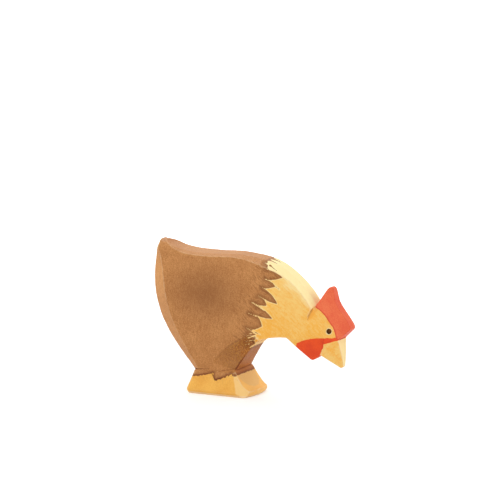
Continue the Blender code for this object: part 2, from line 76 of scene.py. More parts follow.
MM = 0.001
PER_MM = 1.0 / MM

# The frame's nodes for the eyes
EYES = ("eye_right", "eye_left")

# Surfaces that stand out of their surroundings by less than this, in millimetres, are level
FLAT_LIMIT = 0.012

# Smooth shading ends at edges that are sharper than this
ARRIS_ANGLE = math.radians(16.0)

# The sole stays flat: it is what lies below this height and faces down at least this much
SOLE_BAND = 0.3 * MM
SOLE_TURN = -0.9

# The sharp tip of the tail (x, z), how far its edges are drawn up to it, and from how far around
TAIL_TIP = (-21.6, 44.6)
TIP_DRAW = 0.45
TIP_REACH = 2.6

# Where along the hen the neck's arch is raised most, by how much, and over what length each way
ARCH_MIDDLE = 17.5
ARCH_LIFT = 0.42
ARCH_REACH = 10.0

# Small knife marks lie over the large ones, this many times finer, this share as deep and from
# another start. All are this strong on surfaces that face up, ahead or back, and this much weaker
# on the sides
SMALL_MARKS = 2.3
SMALL_MARK_DEPTH = 0.5
SMALL_MARK_START = Vector((9, 0, 0))
MARKS_ON_CUTS = 1.5
LESS_ON_SIDES = 0.9

# The raised grain runs upright: along Z it changes only this much as fast as across
GRAIN_RISE = 0.12

# Brown feather tips that lie over the yellow neck, from the back down to the breast: the notch
# above each tip, the tip, and how far its upper and lower edges swell
FEATHER_TIPS = (
    ((15.9, 39.3), (20.3, 36.9), 0.2, 0.3),
    ((15.7, 36.0), (18.2, 34.1), 0.3, 0.1),
    ((14.9, 33.4), (18.7, 28.9), 0.5, 0.3),
    ((14.3, 30.6), (15.6, 28.2), 0.3, 0.3),
    ((11.7, 29.1), (17.3, 24.3), 0.5, 0.3),
    ((11.0, 25.8), (14.3, 22.0), 0.9, 0.1),
)

# Where the yellow begins on the back above the first notch, where it ends on the breast, and the
# corners beyond the head that close its outline
YELLOW_TOP = ((14.4, 46.0), (14.5, 41.0), (15.3, 40.2))
YELLOW_BREAST = (
    (10.7, 20.5), (12.4, 19.6), (12.2, 18.3), (11.3, 17.2), (10.7, 15.6), (9.9, 13.0),
)
YELLOW_FAR = ((20.0, 2.0), (60.0, 2.0), (60.0, 46.0))

# Across the back the feather tips follow one another at this spacing, shifted by this share of it.
# They are this much longer than the notches between them, and more pointed the higher the power.
# They lie where the back faces less than this sideways, and shrink to nothing over the last
# stretch before it
BACK_TIP_SPACING = 2.2
BACK_TIP_PHASE = 0.77
BACK_TIP_LENGTH = 2.8
BACK_TIP_POWER = 2.5
BACK_TURN = 0.3
BACK_TURN_FADE = 0.15

# The painted highlight on the neck's upper side, where along its edge it begins and is full, and
# the range over which its streaks end on the side
HIGHLIGHT_BAND = (
    (15.2, 40.4), (17.6, 39.0), (20.3, 36.9), (22.0, 35.1), (24.1, 33.3), (26.4, 31.3),
    (28.3, 29.6), (29.6, 28.8), (60.0, 28.8), (60.0, 46.0), (14.4, 46.0),
)
BAND_EDGE = (-1.6, 1.0)
STREAK_RANGE = 8.0

# Single brush strokes: start, end and half-width at each end
YELLOW_STROKES = (
    ((10.6, 21.2), (12.9, 20.6), 0.06, 0.20),
    ((9.8, 18.2), (12.2, 19.2), 0.16, 0.20),
    ((9.4, 14.9), (11.6, 16.6), 0.14, 0.16),
    ((8.9, 16.9), (10.6, 17.4), 0.10, 0.06),
    ((9.6, 18.9), (11.0, 19.2), 0.09, 0.05),
    ((8.6, 15.9), (9.6, 16.1), 0.08, 0.05),
    ((9.6, 21.4), (10.8, 20.6), 0.05, 0.12),
    ((10.4, 16.9), (11.8, 17.7), 0.05, 0.12),
    ((10.2, 19.6), (12.0, 19.9), 0.05, 0.10),
    ((10.2, 25.8), (12.6, 24.9), 0.07, 0.16),
    ((11.3, 29.1), (14.9, 26.9), 0.07, 0.14),
    ((13.3, 31.1), (15.4, 29.9), 0.07, 0.16),
    ((14.2, 33.7), (16.4, 32.9), 0.07, 0.16),
    ((15.0, 36.3), (17.2, 35.6), 0.07, 0.16),
    ((15.1, 39.35), (16.9, 39.0), 0.05, 0.12),
    ((14.2, 40.7), (16.0, 40.1), 0.05, 0.12),
)
BROWN_STROKES = (
    ((15.7, 40.2), (18.4, 38.8), 0.12, 0.05),
    ((18.2, 34.1), (19.4, 33.3), 0.16, 0.08),
    ((12.0, 20.3), (13.6, 19.6), 0.12, 0.05),
    ((11.4, 18.6), (12.9, 18.4), 0.16, 0.05),
)

# Dark lines of painted shade in the creases above the foot and along the chest facet's front
# edge. They keep to surfaces that face at least this much sideways
CREASE_SHADE_STROKES = (
    ((9.3, 14.2), (6.7, 10.4), 0.10, 0.26),
    ((6.7, 10.4), (5.1, 8.1), 0.26, 0.22),
    ((-8.4, 7.3), (-3.0, 7.7), 0.16, 0.05),
    ((-9.2, 5.1), (-1.9, 6.5), 0.10, 0.12),
    ((-2.0, 6.2), (-0.9, 4.6), 0.15, 0.20),
    ((-0.6, 4.8), (2.6, 5.9), 0.18, 0.10),
)
SIDE_TURN = 0.4

# The comb, the wattle with its stripe below the eye, and the beak
COMB = (
    (30.2, 40.0), (30.1, 29.4), (30.3, 28.6), (31.6, 27.8), (33.2, 26.4), (34.5, 24.7),
    (35.9, 23.0), (36.6, 21.3), (37.0, 20.1), (37.4, 19.4), (46.0, 19.4), (46.0, 40.0),
)
WATTLE = (
    (24.2, 16.6), (24.6, 17.5), (26.8, 18.5), (29.1, 19.2), (31.1, 19.5), (33.3, 19.7),
    (34.5, 19.9), (35.8, 19.8), (36.8, 20.1), (38.4, 19.6), (37.6, 19.2), (36.4, 18.9),
    (34.8, 18.3), (33.2, 17.8), (32.9, 16.5), (32.1, 15.7), (31.7, 15.0), (31.3, 14.0),
    (30.0, 9.0), (24.0, 9.0),
)
BEAK = (
    (31.3, 14.0), (31.7, 15.0), (32.1, 15.7), (32.9, 16.5), (33.2, 17.8), (34.8, 18.3),
    (36.4, 18.9), (37.6, 19.2), (38.4, 19.4), (46.0, 19.4), (46.0, 6.0), (31.3, 6.0),
)

# The ochre of the foot, with the ragged lower edge of the brown above it
FOOT = (
    (-14.0, 4.9), (-9.2, 5.0), (-6.7, 5.3), (-4.3, 5.8), (-1.7, 6.5), (-1.5, 5.5),
    (-0.9, 4.4), (-0.1, 4.6), (0.4, 5.1), (1.0, 5.0), (1.8, 5.6), (2.4, 5.5), (2.9, 6.3),
    (3.4, 5.9), (4.0, 6.9), (4.7, 6.5), (5.3, 6.1), (5.8, 6.2), (6.4, 6.6), (14.0, 6.6),
    (14.0, -4.0), (-14.0, -4.0),
)

# The clean lower cut of the ochre on the foot's front, seen from ahead (y, z): above it the wood
# is scooped out and painted tan. The foot's cut corners, which face between these two sideways
# and at least this much up, are painted paler. Both lie on the front, which begins this far ahead
SCOOP = (
    (-5.6, 7.6), (-5.5, 5.9), (-4.6, 4.4), (-3.4, 3.3), (-1.0, 2.6), (2.0, 2.7), (4.6, 3.6),
    (5.5, 5.9), (5.6, 7.6),
)
CORNER_TURN = (0.45, 0.91)
CORNER_RISE = 0.2
FOOT_FRONT = 3.0

# The facet between side and chest, darker there, partly dense stain and partly painted shade, and
# flecked with gold
CHEST_FACET = (
    (10.0, 19.2), (10.8, 17.4), (10.5, 16.0), (8.5, 13.1), (6.6, 10.2), (5.0, 7.9),
    (2.0, 8.7), (-1.5, 9.9), (0.7, 12.6), (3.8, 15.6), (7.1, 17.8),
)

# The stop cut behind the head, with a dark line of gathered paint and painted shade, and the small
# facet in front of it
STOP_STROKE = ((29.9, 28.7), (28.1, 24.9), 0.04, 0.08)
STOP_FACET = ((29.7, 28.8), (31.2, 28.0), (28.2, 24.6))

# The middle of a darker patch on the side, and how much flatter than round the patch is
DARK_PATCH_CENTRE = (-3.7, 30.6)
DARK_PATCH_FLATNESS = 1.45

# Across the neck, and how far that way lie its underside, deeper orange as painted shade, and its
# upper side, paler as painted light
NECK_ACROSS = (0.67, 0.0, 0.74)
NECK_UNDER = 23.0
NECK_UPPER = 41.0

# Between the first two heights the rump's cut face turns golden. Towards the tail's tip,
# above the next two heights and behind the last two lengths, it turns back to brown
RUMP_LIGHT = (27.0, 33.0)
TAIL_ABOVE = (42.5, 38.0)
TAIL_BEHIND = (-18.0, -14.0)

# From where to where along the hen the yellow grows denser towards the head
HEAD_START = (25.0, 30.0)

# The heights at which the foot's pale bottom begins, and below which it is palest: worn wood, with
# painted light from the floor
FOOT_BOTTOM = (0.75, 0.45)

# The hand's wander: how fast it changes along each axis, where its patterns for x and z start,
# how far it leads a line astray on the right side, how much further on the left, and how far from
# the middle it is fully left
WANDER_PER_MM = (0.35, 0.12, 0.35)
WANDER_STARTS = (Vector((0, 0, 40)), Vector((0, 40, 0)))
WANDER_RIGHT = 0.1
WANDER_MORE_LEFT = 0.3
WANDER_LEFT_FROM = 4.0

# How widely the brush strays about each painted border, and how many times in a millimetre
BORDERS = {
    "yellow": (0.34, 1.6),
    "beak": (0.2, 1.0),
    "wattle": (0.25, 1.2),
    "comb": (0.25, 1.2),
    "foot": (1.1, 2.0),
}

# Half the width over which a painted border turns from nothing to full
BORDER_SOFTNESS = 0.05

# How the brush was drawn along neck and head, from level
BRUSH_ANGLE = math.radians(-42.0)

# What guides each layer of paint, or limits one: an attribute of the mesh, two of its values, and
# the share of what lies below that is hidden at each of them. Depths inside a painted area are in
# millimetres; ahead, across and sideways say how far a surface faces that way
LAYERS = {
    "dark_patch": ("dark_patch", 18.0, 0.0, 0.0, 0.54),
    # The chest facet's darker brown: dense stain and painted shade
    "chest": ("chest", -0.2, 0.2, 0.0, 0.5),
    "chest_near_neck": ("yellow", -12.0, -3.0, 0.25, 1.0),
    "cut_face": ("sideways", 0.93, 0.80, 0.0, 1.0),
    "rump": ("ahead", -0.3, -0.6, 0.0, 1.0),
    # Painted light on the back's upward cut faces
    "back": ("ahead", 0.4, 0.2, 0.0, 0.10),
    "chest_front": ("ahead", 0.3, 0.6, 0.0, 0.6),
    "brush_lines": ("yellow", -7.0, -0.3, 0.0, 0.45),
    "feather_edge": ("yellow", -1.4, -0.1, 0.0, 0.5),
    "flecks": ("chest", -0.8, 0.8, 0.0, 0.52),
    "flecks_near_neck": ("yellow", -9.0, -1.0, 0.45, 1.0),
    # Painted highlight on the neck's faces that turn upwards
    "lit_upper_side": ("across", 0.18, 0.6, 0.0, 0.65),
    "yellow_rim": ("yellow", 0.35, 0.05, 0.0, 0.45),
    "stop_facet": ("stop_facet", -0.4, 0.3, 0.0, 0.55),
    "stop_cut": ("stop", -0.2, 0.05, 0.0, 0.38),
    "eye_ring": ("eye_rim", 0.35, 0.1, 0.0, 0.5),
    # Painted light on the beak's front
    "beak_front_highlight": ("ahead", 0.45, 0.75, 0.0, 1.0),
    "comb_border": ("comb", 0.5, 0.1, 0.0, 0.7),
    # Painted shade on the comb's front
    "comb_front_shade": ("ahead", 0.3, 0.6, 0.0, 0.3),
    "above_foot": ("foot", -1.1, -0.1, 0.0, 0.66),
    "foot_corner": ("corner", -0.03, 0.03, 0.0, 0.8),
    "foot_front": ("ahead", 0.3, 0.6, 0.0, 0.3),
    "foot_scoop": ("scoop", -0.1, 0.2, 0.0, 0.8),
    "splashes": ("foot", 2.6, 0.2, 0.0, 0.4),
    # Lines of painted shade in the creases
    "crease_shade_strokes": ("dark", -0.12, 0.10, 0.0, 0.85),
    # Wood shown on worn edges, with a painted highlight along them
    "worn_edge_and_highlight": ("sharpness", 0.015, 0.14, 0.0, 0.5),
    "off_chest": ("chest", -0.9, -0.3, 1.0, 0.0),
    # Painted shade in the creases, weaker on the neck's highlight band
    "crease_shade": ("sharpness", -0.02, -0.16, 0.0, 1.0),
    "crease_shade_on_highlight_band": ("highlight_band", -0.3, 0.8, 0.4, 0.12),
}

# The most that is hidden by the golden tone on the rump, the pale streaks of painted highlight and
# the pale bottom of the foot
RUMP_COVER = 0.28
STREAK_COVER = 0.5
BOTTOM_COVER = 0.8

# An eye's dome is what faces at least this much sideways, and its rim what lies beyond this share
# of its radius
DOME_TURN = 0.6
RIM_SHARE = 0.98

# The profile of an eye's drop from its crown to its foot: how far out and how high, as shares of
# the eye's radius. Then its steps round, how far out of round it is, and where that starts
DROP_PROFILE = (
    (0.0, 0.40), (0.35, 0.37), (0.65, 0.28), (0.88, 0.13), (1.0, -0.04), (0.97, -0.18),
    (0.0, -0.5),
)
DROP_STEPS = 40
DROP_WANDER = 0.05
DROP_WANDER_START = Vector((3, 7, 0))

# Lamps whose light glances off the rear, front and upper cut edges: name, azimuth, elevation and
# share of the edge lamps' power
EDGE_LAMPS = (
    ("rear_lamp", -90.0, 20.0, 1.1),
    ("beak_lamp", 102.0, 20.0, 0.85),
    ("back_lamp", 212.0, 48.0, 1.0),
)
EDGE_LAMP_SIZE = 0.4
FRONT_LAMP = ("front_lamp", 10.0, 35.0)
FRONT_LAMP_SIZE = 0.6
LAMP_DISTANCE = 0.7

# The floor reaches this far each way. Its paper's white is lifted from the first strength to the
# second between these distances from the hen, in millimetres
FLOOR_REACH = 6.0
PAPER_WHITE = 0.8
LIFT_STRENGTH = (0.34, 0.8)
LIFT_DISTANCE = (60.0, 240.0)


def srgb(red, green, blue):
    """A colour given as screen values from 0 to 255, as the linear values that Blender keeps."""
    shares = (red / 255, green / 255, blue / 255)
    return tuple(s / 12.92 if s <= 0.04045 else ((s + 0.055) / 1.055) ** 2.4 for s in shares)


def colour(name, description, shade):
    return FloatVectorProperty(
        name=name, description=description, default=srgb(*shade), subtype="COLOR", min=0, max=1
    )


class HenSurface(bpy.types.PropertyGroup):
    """How finely the hen is meshed, and what the knife left on it"""

    fineness: IntProperty(
        name="Fineness", description="How often the mesh's cells are halved", default=8
    )
    evening: IntProperty(
        name="Evening", description="Passes that even out the surfaces between edges", default=14
    )
    knife_depth: FloatProperty(
        name="Knife depth", description="How deep the knife's marks are", default=0.055 * MM,
        unit="LENGTH",
    )
    knife_length: FloatProperty(
        name="Knife length", description="Size of one knife mark", default=3.4 * MM, unit="LENGTH"
    )
    ridge_depth: FloatProperty(
        name="Ridge depth", description="Height of the raised grain", default=0.012 * MM,
        unit="LENGTH",
    )
    ridge_width: FloatProperty(
        name="Ridge width", description="Width of one line of grain", default=0.7 * MM,
        unit="LENGTH",
    )


class HenPaint(bpy.types.PropertyGroup):
    """The colours of the hen's stain, paints and enamel, and of the light and shade painted on it
    """

    brown_rust: colour("Brown, reddish", "Brown stain on the chest's front", (170, 94, 26))
    # Lighter brown on cut faces; on the back's upward faces it is painted light
    brown_edge: colour("Brown, edges", "Brown stain on the rump and the back", (228, 164, 86))
    brown_thin: colour("Brown, thin", "Brown stain where it is thin", (206, 146, 88))
    brown_dense: colour("Brown, dense", "Brown stain where it is dense", (171, 111, 59))
    # Also the painted shade in the creases and, in part, on the chest facet
    brown_dark: colour("Brown, dark", "Brown stain where it pooled or overlaps", (118, 66, 28))
    # Also the lines of painted shade in the creases
    brown_line: colour("Brown, line", "Brown stain along its lower border", (108, 52, 22))
    yellow_thin: colour("Yellow, thin", "Straw yellow where it is thin", (251, 208, 122))
    yellow_dense: colour("Yellow, dense", "Straw yellow where it is dense", (247, 178, 69))
    yellow_deep: colour("Yellow, deep", "Straw yellow in front of the stop cut", (240, 156, 42))
    # Also the painted highlight on the neck's upper side and its band
    yellow_pale_and_highlight: colour("Yellow, pale", "Straw yellow on the top of the neck", (255, 240, 182))
    # Gathered paint and painted shade in the stop cut
    stop_brown: colour("Stop cut", "Paint that gathered in the stop cut", (168, 98, 36))
    comb_red: colour("Comb", "Red of the comb", (242, 122, 78))
    comb_dense: colour("Comb, dense", "Red of the comb where it is dense", (233, 98, 64))
    # Also the painted shade on the comb's front
    comb_rim: colour("Comb rim", "Red along the comb's painted border", (208, 52, 36))
    wattle_red: colour("Wattle", "Red of the wattle", (241, 86, 34))
    wattle_dense: colour("Wattle, dense", "Red of the wattle where it is dense", (228, 72, 34))
    beak: colour("Beak", "Amber of the beak", (249, 179, 72))
    # Painted light on the front of the beak
    beak_lit_front: colour("Beak, pale", "Amber on the front of the beak", (250, 222, 156))
    ochre: colour("Foot", "Ochre of the foot", (250, 192, 92))
    ochre_deep: colour("Foot, deep", "Ochre where it is dense", (238, 172, 76))
    # Paler ochre on the foot's front and cut corners
    ochre_pale: colour("Foot, thin", "Ochre on the foot's front and cut corners", (250, 210, 138))
    ochre_tan: colour("Foot, scooped", "Ochre in the foot's scooped front", (230, 184, 114))
    # Worn wood, also a painted highlight on edges and painted light on the foot's bottom
    bare_wood_and_highlight: colour("Bare wood", "Wood that shows on worn edges", (246, 212, 164))
    eye: colour("Eyes", "Enamel of the eyes", (46, 22, 2))
    eye_thin: colour("Eyes, thin", "Enamel where it runs thin", (112, 62, 6))


class HenStudio(bpy.types.PropertyGroup):
    """Where the camera stands, and how strong the lights are"""

    azimuth: FloatProperty(
        name="Azimuth", description="Which side the camera stands at",
        default=math.radians(26.875), subtype="ANGLE",
    )
    elevation: FloatProperty(
        name="Elevation", description="How far above the horizon the camera stands",
        default=math.radians(11.0), subtype="ANGLE",
    )
    distance: FloatProperty(
        name="Distance", description="From the camera to the hen", default=3.0, unit="LENGTH"
    )
    view_width: FloatProperty(
        name="View width", description="Width seen at the hen", default=148.3 * MM, unit="LENGTH"
    )
    aim_right: FloatProperty(
        name="Aim right", description="View centre, right of the foot", default=6.5 * MM,
        unit="LENGTH",
    )
    aim_up: FloatProperty(
        name="Aim up", description="View centre, above the foot", default=41.9 * MM, unit="LENGTH"
    )
    edge_power: FloatProperty(
        name="Edge lamps", description="Power of each lamp that brings out the cut edges",
        default=1.6, unit="POWER",
    )
    front_power: FloatProperty(
        name="Front lamp", description="Power of the lamp in front", default=1.75, unit="POWER"
    )
    ambient: FloatProperty(
        name="Ambient", description="Strength of the light from all round", default=0.53
    )


class Recipe:
    """A material whose nodes are added one after another and linked as they are named."""

    def __init__(self, name):
        self.material = bpy.data.materials.new(name)
        self.material.use_nodes = True
        self.tree = self.material.node_tree
        self.shader = self.tree.nodes["Principled BSDF"]

    def feed(self, socket, value):
        if isinstance(value, bpy.types.NodeSocket):
            self.tree.links.new(value, socket)
        else:
            socket.default_value = value

    def node(self, kind, inputs=(), **settings):
        made = self.tree.nodes.new(kind)
        for key, value in settings.items():
            setattr(made, key, value)
        for key, value in dict(inputs).items():
            self.feed(made.inputs[key], value)
        return made

    def attribute(self, name):
        return self.node("ShaderNodeAttribute", attribute_name=name).outputs["Fac"]

    def millimetres(self):
        """Object coordinates, in millimetres."""
        place = self.node("ShaderNodeTexCoord").outputs["Object"]
        scale = (PER_MM, PER_MM, PER_MM)
        return self.node("ShaderNodeMapping", {"Vector": place, "Scale": scale}).outputs[0]

    def along(self, place, axis):
        """How far along an axis the place lies."""
        return self.node("ShaderNodeSeparateXYZ", {0: place}).outputs[axis]

    def drawn_out(self, place, stretch, turn=0.0):
        """The place turned about Y, then shortened along each axis, so that patterns lengthen."""
        turned = self.node("ShaderNodeMapping", {"Vector": place, "Rotation": (0, turn, 0)})
        scaled = {"Vector": turned.outputs[0], "Scale": stretch}
        return self.node("ShaderNodeMapping", scaled).outputs[0]

    def clouds(self, place, per_mm, detail=3.0, roughness=0.55):
        inputs = {"Vector": place, "Scale": per_mm, "Detail": detail, "Roughness": roughness}
        return self.node("ShaderNodeTexNoise", inputs).outputs[0]

    def combined(self, operation, first, second):
        made = self.node("ShaderNodeMath", {0: first, 1: second}, operation=operation)
        return made.outputs[0]

    def plus(self, first, second):
        return self.combined("ADD", first, second)

    def times(self, first, second):
        return self.combined("MULTIPLY", first, second)

    def greater(self, first, second):
        return self.combined("MAXIMUM", first, second)

    def blended(self, first_share, first, second):
        """Two patterns added up, with the first one's share; the second has the rest."""
        return self.plus(self.times(first, first_share), self.times(second, 1.0 - first_share))

    def ramp(self, value, low, high, start=0.0, end=1.0):
        """Start at low, end at high, and an even curve between them."""
        inputs = {
            "Value": value, "From Min": low, "From Max": high, "To Min": start, "To Max": end,
        }
        made = self.node("ShaderNodeMapRange", inputs, interpolation_type="SMOOTHSTEP")
        return made.outputs["Result"]

    def layer(self, name):
        """How much of what lies below it a layer hides, or the limit that the layer's row sets."""
        attribute, *limits = LAYERS[name]
        return self.ramp(self.attribute(attribute), *limits)

    def mix(self, share, first, second, blend="MIX"):
        made = self.node("ShaderNodeMix", data_type="RGBA", blend_type=blend)
        self.feed(made.inputs["Factor"], share)
        for socket, value in ((made.inputs[6], first), (made.inputs[7], second)):
            self.feed(socket, value if isinstance(value, bpy.types.NodeSocket) else (*value, 1.0))
        return made.outputs[2]


def segment_distance(points, start, end, start_width=0.0, end_width=0.0):
    """How far each point lies from a stroke that runs from start to end, less its half-width."""
    start, end = np.array(start), np.array(end)
    along = end - start
    share = np.clip((points - start) @ along / (along @ along), 0, 1)
    away = np.linalg.norm(points - start - share[:, None] * along, axis=1)
    return away - (start_width + share * (end_width - start_width))


def inside_by(points, outline):
    """How far inside a closed outline each point lies; outside it the number is negative."""
    inside = np.zeros(len(points), bool)
    nearest = np.full(len(points), np.inf)
    for start, end in zip(outline, outline[1:] + outline[:1]):
        nearest = np.minimum(nearest, segment_distance(points, start, end))
        crosses = (start[1] > points[:, 1]) != (end[1] > points[:, 1])
        rise = (end[1] - start[1]) or 1.0
        level_x = start[0] + (points[:, 1] - start[1]) * (end[0] - start[0]) / rise
        inside ^= crosses & (points[:, 0] < level_x)
    return np.where(inside, nearest, -nearest)


def inside_strokes(points, strokes):
    """How far inside the nearest of some strokes each point lies."""
    return np.max([-segment_distance(points, *stroke) for stroke in strokes], axis=0)


def bowed(start, end, swell, steps=5):
    """Points from start towards end on a line that swells to its left, without the end."""
    start, end = Vector(start), Vector(end)
    along = end - start
    left = Vector((-along.y, along.x)).normalized() * swell
    shares = [i / steps for i in range(steps)]
    return [tuple(start.lerp(end, s) + left * math.sin(math.pi * s)) for s in shares]


def yellow_outline():
    """The yellow of neck and head, with the brown feather tips cut out of its rear edge."""
    points = list(YELLOW_TOP)
    notches = [tip[0] for tip in FEATHER_TIPS[1:]] + [YELLOW_BREAST[0]]
    for (notch, tip, upper, lower), below in zip(FEATHER_TIPS, notches):
        points += bowed(notch, tip, upper) + bowed(tip, below, lower)
    return points + list(YELLOW_BREAST) + list(YELLOW_FAR)


def back_fringe(points, normals):
    """How far the feather tips on the back run forward of the notches between them."""
    level = np.clip((BACK_TURN - np.abs(normals[:, 1])) / BACK_TURN_FADE, 0, 1)
    share = np.abs((points[:, 1] / BACK_TIP_SPACING + BACK_TIP_PHASE) % 1 - 0.5) * 2
    return BACK_TIP_LENGTH * level * share**BACK_TIP_POWER


def hand_wander(points):
    """Shifts the painter's lines a little, differently on the two sides, as a hand does."""
    shifts = np.zeros((len(points), 2))
    for i, spot in enumerate(points * WANDER_PER_MM):
        shifts[i] = [noise.noise(Vector(spot) + start) for start in WANDER_STARTS]
    left = np.clip(points[:, 1] / WANDER_LEFT_FROM, 0, 1)
    return shifts * (WANDER_RIGHT + WANDER_MORE_LEFT * left)[:, None]


def foot_depths(points, normals):
    """How far inside the foot's scooped front, and inside its cut corners, each point lies."""
    ahead = np.minimum(0, points[:, 0] - FOOT_FRONT)
    sideways = np.abs(normals[:, 1])
    corner = np.minimum(CORNER_TURN[1] - sideways, sideways - CORNER_TURN[0])
    corner = np.minimum(corner, normals[:, 2] - CORNER_RISE)
    return inside_by(points[:, [1, 2]], SCOOP) + ahead, corner + ahead


def from_eye(points):
    """How far outside the rim of an eye each point lies, seen from the side."""
    centre, _, radius = eye_stand(EYES[0])
    away = np.linalg.norm(points[:, [0, 2]] - (centre.x * PER_MM, centre.z * PER_MM), axis=1)
    return away - radius * PER_MM


def yellow_depths(points, flat, normals):
    """How far inside the yellow each point lies, with its fringe and single brush strokes."""
    fringed = flat - np.outer(back_fringe(points, normals), (1, 0))
    yellow = np.maximum(inside_by(fringed, yellow_outline()), inside_strokes(flat, YELLOW_STROKES))
    return np.minimum(yellow, -inside_strokes(flat, BROWN_STROKES))


def paint_borders(points, normals):
    """Each painted area's name, with how far inside it each point lies, in millimetres."""
    flat = points[:, [0, 2]] + hand_wander(points)
    sideways = np.abs(normals[:, 1])
    scoop, corner = foot_depths(points, normals)
    from_dark_patch = (flat - DARK_PATCH_CENTRE) * (1, DARK_PATCH_FLATNESS)
    return {
        "yellow": yellow_depths(points, flat, normals),
        "comb": inside_by(flat, COMB),
        "wattle": inside_by(flat, WATTLE),
        "beak": inside_by(flat, BEAK),
        "foot": inside_by(flat, FOOT),
        # Lines of painted shade in the creases
        "dark": np.minimum(inside_strokes(flat, CREASE_SHADE_STROKES), sideways - SIDE_TURN),
        "stop": inside_strokes(flat, [STOP_STROKE]),
        "stop_facet": inside_by(flat, STOP_FACET),
        "scoop": scoop,
        "corner": corner,
        "chest": inside_by(flat, CHEST_FACET),
        "highlight_band": inside_by(flat, HIGHLIGHT_BAND),
        "eye_rim": from_eye(points),
        "dark_patch": np.linalg.norm(from_dark_patch, axis=1),
    }


def merged_copy(node, name):
    """A copy of a frame node's mesh, with its loose triangles joined."""
    bm = bmesh.new()
    bm.from_mesh(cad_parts[node].data)
    bmesh.ops.remove_doubles(bm, verts=bm.verts, dist=0.001 * MM)
    mesh = bpy.data.meshes.new(name)
    bm.to_mesh(mesh)
    bm.free()
    return mesh


def add_piece(name, mesh):
    made = bpy.data.objects.new(name, mesh)
    bpy.context.scene.collection.objects.link(made)
    return made


def read_vectors(items, key):
    values = np.zeros(len(items) * 3)
    items.foreach_get(key, values)
    return values.reshape(-1, 3)


def move_to(mesh, places):
    mesh.vertices.foreach_set("co", places.ravel())
    mesh.update()


def fine_cells(made, fineness):
    """Replaces the piece's mesh by one of fine even cells that keeps its knife-cut edges."""
    remesh = made.modifiers.new("even cells", "REMESH")
    remesh.mode = "SHARP"
    remesh.octree_depth = fineness
    remesh.scale = 0.9
    depsgraph = bpy.context.evaluated_depsgraph_get()
    mesh = bpy.data.meshes.new_from_object(made.evaluated_get(depsgraph))
    coarse = made.data
    made.modifiers.clear()
    made.data = mesh
    bpy.data.meshes.remove(coarse)
    mesh.name = made.name


def even_out(mesh, passes):
    """Evens out the surfaces between the cut edges, and closes up cells that are pinched."""
    level = np.abs(edge_sharpness(mesh)) < FLAT_LIMIT
    bm = bmesh.new()
    bm.from_mesh(mesh)
    flats = [vert for vert, is_flat in zip(bm.verts, level) if is_flat]
    for _ in range(passes):
        bmesh.ops.smooth_vert(
            bm, verts=flats, factor=0.5, use_axis_x=True, use_axis_y=True, use_axis_z=True
        )
    pinched = [edge for edge in bm.edges if len(edge.link_faces) > 2]
    bmesh.ops.collapse(bm, edges=pinched)
    bm.to_mesh(mesh)
    bm.free()


def draw_tip(mesh):
    """Draws the rounded end of the tail out to a sharp tip, as the last knife cut leaves it."""
    places = read_vectors(mesh.vertices, "co")
    towards = np.array(TAIL_TIP) * MM - places[:, [0, 2]]
    away = np.linalg.norm(towards, axis=1)
    near = np.clip(1 - away / (TIP_REACH * MM), 0, 1) ** 2
    share = near * TIP_DRAW * MM / np.maximum(away, TIP_DRAW * MM)
    places[:, [0, 2]] += towards * share[:, None]
    move_to(mesh, places)


def lift_neck(mesh):
    """Bends the neck's arch up a little between the back and the head."""
    places = read_vectors(mesh.vertices, "co")
    away = np.abs(places[:, 0] * PER_MM - ARCH_MIDDLE)
    near = np.clip(1 - away / ARCH_REACH, 0, 1)
    places[:, 2] += ARCH_LIFT * MM * near * near * (3 - 2 * near)
    move_to(mesh, places)


def knife_work(mesh, surface):
    """Shallow knife marks all over, stronger on the cut edges, with fine upright grain."""
    places, normals = read_vectors(mesh.vertices, "co"), read_vectors(mesh.vertices, "normal")
    push = np.zeros(len(places))
    for i, (place, normal) in enumerate(zip(places, normals)):
        spot = Vector(place) / surface.knife_length
        small = noise.noise(spot * SMALL_MARKS + SMALL_MARK_START)
        mark = noise.noise(spot) + SMALL_MARK_DEPTH * small
        push[i] = mark * surface.knife_depth * (MARKS_ON_CUTS - LESS_ON_SIDES * abs(normal[1]))
        line = Vector(place) / surface.ridge_width
        line.z *= GRAIN_RISE
        push[i] += noise.noise(line) * surface.ridge_depth
    moved = places + normals * push[:, None]
    on_sole = (normals[:, 2] < SOLE_TURN) & (places[:, 2] < SOLE_BAND)
    moved[:, 2] = np.where(on_sole, 0, np.maximum(moved[:, 2], 0))
    move_to(mesh, moved)


def edge_sharpness(mesh, passes=10):
    """How far each point stands out of its surroundings, in millimetres; less than 0 in creases."""
    places, normals = read_vectors(mesh.vertices, "co"), read_vectors(mesh.vertices, "normal")
    pairs = np.zeros(len(mesh.edges) * 2, int)
    mesh.edges.foreach_get("vertices", pairs)
    pairs = pairs.reshape(-1, 2)
    count = np.bincount(pairs.ravel(), minlength=len(places))
    soft = places.copy()
    for _ in range(passes):
        total = np.zeros_like(soft)
        for axis in range(3):
            total[:, axis] += np.bincount(pairs[:, 0], soft[pairs[:, 1], axis], len(soft))
            total[:, axis] += np.bincount(pairs[:, 1], soft[pairs[:, 0], axis], len(soft))
        soft = 0.5 * soft + 0.5 * total / count[:, None]
    return ((places - soft) * normals).sum(1) * PER_MM


def store(mesh, name, values):
    attribute = mesh.attributes.new(name, "FLOAT", "POINT")
    attribute.data.foreach_set("value", np.asarray(values, np.float32))


def store_for_paint(mesh):
    """Keeps on the mesh how sharp it is, how it faces, and where each painted area lies."""
    normals = read_vectors(mesh.vertices, "normal")
    store(mesh, "sharpness", edge_sharpness(mesh))
    store(mesh, "across", normals @ np.array(NECK_ACROSS))
    store(mesh, "ahead", normals[:, 0])
    store(mesh, "sideways", np.abs(normals[:, 1]))
    places = read_vectors(mesh.vertices, "co") * PER_MM
    for name, depths in paint_borders(places, normals).items():
        store(mesh, name, depths)


